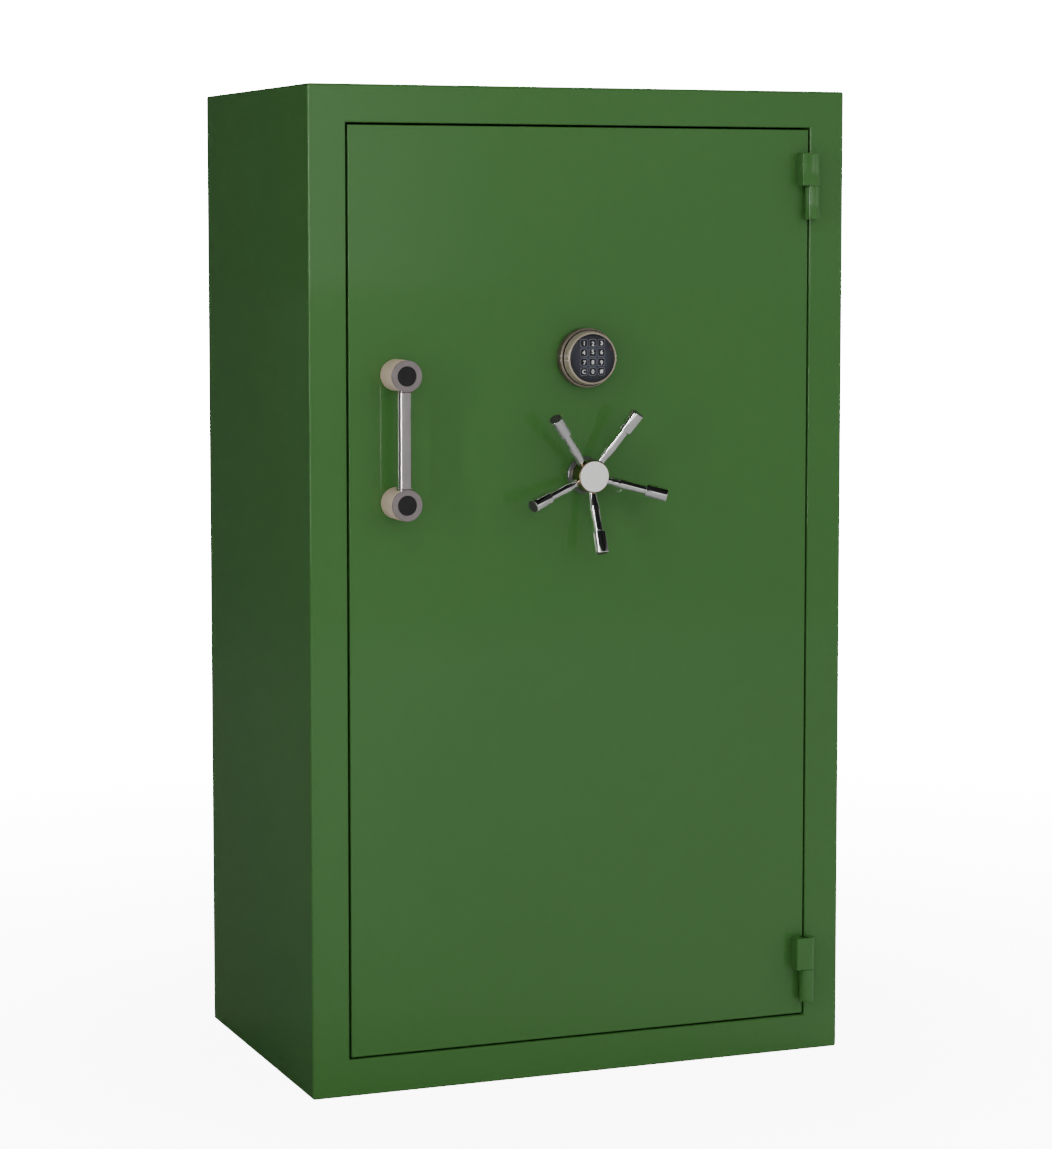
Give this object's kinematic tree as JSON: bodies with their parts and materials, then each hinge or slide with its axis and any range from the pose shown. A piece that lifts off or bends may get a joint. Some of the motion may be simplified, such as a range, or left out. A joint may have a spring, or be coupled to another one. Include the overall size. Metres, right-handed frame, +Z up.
{
  "type": "gun safe",
  "caption": "Upright steel gun safe with a flush hinged door, round push-button lock, spoked handle, tubular pull handle, geared sliding bolts, fire lining and fitted carpeted interior.",
  "frame": {"origin": "centre of the cabinet's footprint, on the floor", "axes": "+Z up, +X to the right of someone facing the door, -Y out of the door"},
  "size_m": [0.87, 0.6051, 1.505],
  "materials": {
    "green_paint": "gloss",
    "black_paint": "satin",
    "bright_steel": "polished",
    "zinc_steel": "satin",
    "satin_nickel": "satin",
    "pale_cap": "satin",
    "dark_metal": "satin",
    "brass": "satin",
    "gypsum_board": "matte",
    "carpet": "matte",
    "black_plastic": "gloss",
    "key_plastic": "satin",
    "circuit_board": "satin",
    "battery_shell": "satin"
  },
  "bodies": {
    "cabinet": {"hinge_pins": "green_paint", "front_frame": "green_paint", "side_panels": "green_paint", "top_panel": "green_paint", "bottom_panel": "green_paint", "rear_panel": "green_paint", "body_knuckles": "green_paint", "jamb_liner": "black_paint", "shelf_standards": "black_paint", "fireboard_lining": "gypsum_board", "carpet_panels": "carpet", "center_divider": "carpet", "shelves": "carpet", "barrel_rest": "carpet"},
    "door": {"door_plate": "green_paint", "door_pan": "black_paint", "door_fireboard": "gypsum_board", "boltwork_plate": "zinc_steel", "bolt_guide_bars": "zinc_steel", "door_back_panel": "carpet", "panel_screws": "zinc_steel", "dead_bolts": "bright_steel", "rack_guides": "zinc_steel", "spindle_bridge": "black_paint", "lock_case": "black_paint", "pull_posts": "satin_nickel", "pull_caps": "black_plastic", "pull_bar": "bright_steel", "handle_rosette": "dark_metal", "spindle_bush": "brass", "keypad_base": "satin_nickel", "keypad_housing": "satin_nickel", "keypad_face": "black_plastic", "keypad_board": "circuit_board", "keypad_battery": "battery_shell", "door_knuckles": "green_paint"},
    "handle": {"handle_hub": "dark_metal", "handle_spokes": "bright_steel", "hub_cap": "pale_cap", "handle_spindle": "zinc_steel", "pinion": "zinc_steel"},
    "side_boltwork": {"side_bolts": "bright_steel", "side_bolt_bar": "zinc_steel"},
    "top_boltwork": {"top_bolts": "bright_steel", "top_bolt_bar": "zinc_steel"},
    "bottom_boltwork": {"bottom_bolts": "bright_steel", "bottom_bolt_bar": "zinc_steel"},
    "lock_bolt": {"lock_bolt": "zinc_steel"},
    "key_1": {"key_1": "key_plastic"},
    "key_2": {"key_2": "key_plastic"},
    "key_3": {"key_3": "key_plastic"},
    "key_4": {"key_4": "key_plastic"},
    "key_5": {"key_5": "key_plastic"},
    "key_6": {"key_6": "key_plastic"},
    "key_7": {"key_7": "key_plastic"},
    "key_8": {"key_8": "key_plastic"},
    "key_9": {"key_9": "key_plastic"},
    "key_clear": {"key_clear": "key_plastic"},
    "key_0": {"key_0": "key_plastic"},
    "key_enter": {"key_enter": "key_plastic"}
  },
  "joints": [
    {"name": "door_swing", "type": "hinge", "parent": "cabinet", "child": "door", "pos_m": [0.3755, -0.2797, 0], "axis": [0, 0, 1], "range_deg": [0, 175]},
    {"name": "handle_turn", "type": "hinge", "parent": "door", "child": "handle", "pos_m": [0, -0.2675, 0.9225], "axis": [0, -1, 0], "range_deg": [0, 90]},
    {"name": "side_bolts_slide", "type": "slide", "parent": "door", "child": "side_boltwork", "axis": [-1, 0, 0], "range_m": [0, 0.02995]},
    {"name": "top_bolts_slide", "type": "slide", "parent": "door", "child": "top_boltwork", "axis": [0, 0, 1], "range_m": [0, 0.02995]},
    {"name": "bottom_bolts_slide", "type": "slide", "parent": "door", "child": "bottom_boltwork", "axis": [0, 0, -1], "range_m": [0, 0.02995]},
    {"name": "lock_bolt_drop", "type": "slide", "parent": "door", "child": "lock_bolt", "axis": [0, 0, -1], "range_m": [0, 0.01]},
    {"name": "key_1_press", "type": "slide", "parent": "door", "child": "key_1", "axis": [0, 1, 0], "range_m": [0, 0.001], "stiffness_N_per_m": 400, "springref_m": -0.0005},
    {"name": "key_2_press", "type": "slide", "parent": "door", "child": "key_2", "axis": [0, 1, 0], "range_m": [0, 0.001], "stiffness_N_per_m": 400, "springref_m": -0.0005},
    {"name": "key_3_press", "type": "slide", "parent": "door", "child": "key_3", "axis": [0, 1, 0], "range_m": [0, 0.001], "stiffness_N_per_m": 400, "springref_m": -0.0005},
    {"name": "key_4_press", "type": "slide", "parent": "door", "child": "key_4", "axis": [0, 1, 0], "range_m": [0, 0.001], "stiffness_N_per_m": 400, "springref_m": -0.0005},
    {"name": "key_5_press", "type": "slide", "parent": "door", "child": "key_5", "axis": [0, 1, 0], "range_m": [0, 0.001], "stiffness_N_per_m": 400, "springref_m": -0.0005},
    {"name": "key_6_press", "type": "slide", "parent": "door", "child": "key_6", "axis": [0, 1, 0], "range_m": [0, 0.001], "stiffness_N_per_m": 400, "springref_m": -0.0005},
    {"name": "key_7_press", "type": "slide", "parent": "door", "child": "key_7", "axis": [0, 1, 0], "range_m": [0, 0.001], "stiffness_N_per_m": 400, "springref_m": -0.0005},
    {"name": "key_8_press", "type": "slide", "parent": "door", "child": "key_8", "axis": [0, 1, 0], "range_m": [0, 0.001], "stiffness_N_per_m": 400, "springref_m": -0.0005},
    {"name": "key_9_press", "type": "slide", "parent": "door", "child": "key_9", "axis": [0, 1, 0], "range_m": [0, 0.001], "stiffness_N_per_m": 400, "springref_m": -0.0005},
    {"name": "key_clear_press", "type": "slide", "parent": "door", "child": "key_clear", "axis": [0, 1, 0], "range_m": [0, 0.001], "stiffness_N_per_m": 400, "springref_m": -0.0005},
    {"name": "key_0_press", "type": "slide", "parent": "door", "child": "key_0", "axis": [0, 1, 0], "range_m": [0, 0.001], "stiffness_N_per_m": 400, "springref_m": -0.0005},
    {"name": "key_enter_press", "type": "slide", "parent": "door", "child": "key_enter", "axis": [0, 1, 0], "range_m": [0, 0.001], "stiffness_N_per_m": 400, "springref_m": -0.0005}
  ],
  "couplings": [
    {"joint": "side_bolts_slide", "follows": "handle_turn", "m_per_rad": 0.019},
    {"joint": "top_bolts_slide", "follows": "handle_turn", "m_per_rad": 0.019},
    {"joint": "bottom_bolts_slide", "follows": "handle_turn", "m_per_rad": 0.019}
  ]
}
